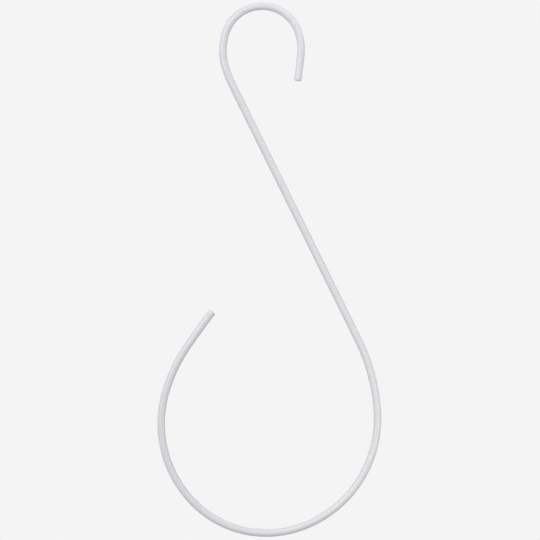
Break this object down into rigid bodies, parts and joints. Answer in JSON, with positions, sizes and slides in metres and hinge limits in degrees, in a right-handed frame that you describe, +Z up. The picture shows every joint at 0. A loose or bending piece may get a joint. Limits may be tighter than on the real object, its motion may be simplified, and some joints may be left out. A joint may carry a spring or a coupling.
{
  "type": "s hook",
  "caption": "Hanging hook bent from one coated wire: a small crook that goes over a rail, a straight leaning shank and a wide open loop for the load.",
  "frame": {"origin": "inside of the crown of the small crook, where the hook sits on a rail, on the wire's middle plane", "axes": "+Z up as the hook hangs, +X to the side that the small crook opens past, wire in the XZ plane"},
  "size_m": [0.0879, 0.003, 0.2096],
  "materials": {
    "coated_wire": "satin white powder coat over steel wire"
  },
  "bodies": {
    "root": {"hook": "coated_wire"}
  },
  "joints": []
}
